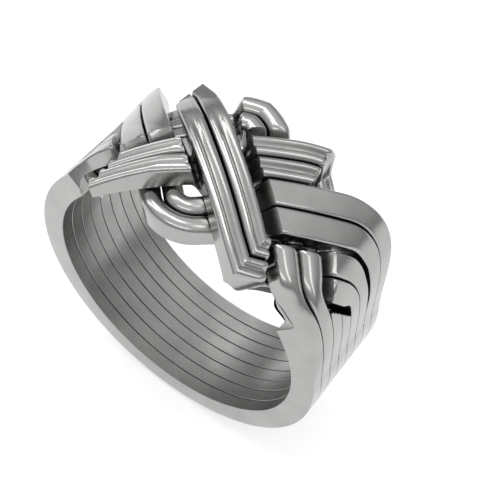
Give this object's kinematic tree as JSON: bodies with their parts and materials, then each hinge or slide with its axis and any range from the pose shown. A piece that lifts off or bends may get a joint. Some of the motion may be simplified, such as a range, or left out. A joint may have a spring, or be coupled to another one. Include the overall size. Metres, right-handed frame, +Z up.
{
  "type": "metal puzzle ring",
  "caption": "Interlocking puzzle finger ring: closed metal bands lie side by side in the shank and weave in pairs into a raised knot, and fan open as the ring loosens.",
  "frame": {"origin": "centre of the finger bore, at the middle of the shank's width", "axes": "+Y along the finger from front to back, +Z up through the middle of the knot, +X to the right"},
  "size_m": [0.0232, 0.0119, 0.025],
  "materials": {
    "ring_metal": "polished silver: mirror-bright knot, satin shank and bore"
  },
  "bodies": {
    "band_1_front": {"band_1_front": "ring_metal"},
    "band_2": {"band_2": "ring_metal"},
    "band_3": {"band_3": "ring_metal"},
    "band_4": {"band_4": "ring_metal"},
    "band_5": {"band_5": "ring_metal"},
    "band_6": {"band_6": "ring_metal"},
    "band_7": {"band_7": "ring_metal"},
    "band_8_back": {"band_8_back": "ring_metal"}
  },
  "joints": [
    {"name": "fan_band_8_back", "type": "hinge", "parent": "band_4", "child": "band_8_back", "pos_m": [0, 0, 0.011], "axis": [1, 0, 0], "range_deg": [0, 3.2]},
    {"name": "fan_band_1_front", "type": "hinge", "parent": "band_4", "child": "band_1_front", "pos_m": [0, 0, 0.011], "axis": [1, 0, 0], "range_deg": [-2.4, 0]},
    {"name": "fan_band_2", "type": "hinge", "parent": "band_4", "child": "band_2", "pos_m": [0, 0, 0.011], "axis": [1, 0, 0], "range_deg": [-1.6, 0]},
    {"name": "fan_band_3", "type": "hinge", "parent": "band_4", "child": "band_3", "pos_m": [0, 0, 0.011], "axis": [1, 0, 0], "range_deg": [-0.8, 0]},
    {"name": "fan_band_5", "type": "hinge", "parent": "band_4", "child": "band_5", "pos_m": [0, 0, 0.011], "axis": [1, 0, 0], "range_deg": [0, 0.8]},
    {"name": "fan_band_6", "type": "hinge", "parent": "band_4", "child": "band_6", "pos_m": [0, 0, 0.011], "axis": [1, 0, 0], "range_deg": [0, 1.6]},
    {"name": "fan_band_7", "type": "hinge", "parent": "band_4", "child": "band_7", "pos_m": [0, 0, 0.011], "axis": [1, 0, 0], "range_deg": [0, 2.4]}
  ],
  "couplings": [
    {"joint": "fan_band_1_front", "follows": "fan_band_8_back", "ratio": -0.75},
    {"joint": "fan_band_2", "follows": "fan_band_8_back", "ratio": -0.5},
    {"joint": "fan_band_3", "follows": "fan_band_8_back", "ratio": -0.25},
    {"joint": "fan_band_5", "follows": "fan_band_8_back", "ratio": 0.25},
    {"joint": "fan_band_6", "follows": "fan_band_8_back", "ratio": 0.5},
    {"joint": "fan_band_7", "follows": "fan_band_8_back", "ratio": 0.75}
  ]
}
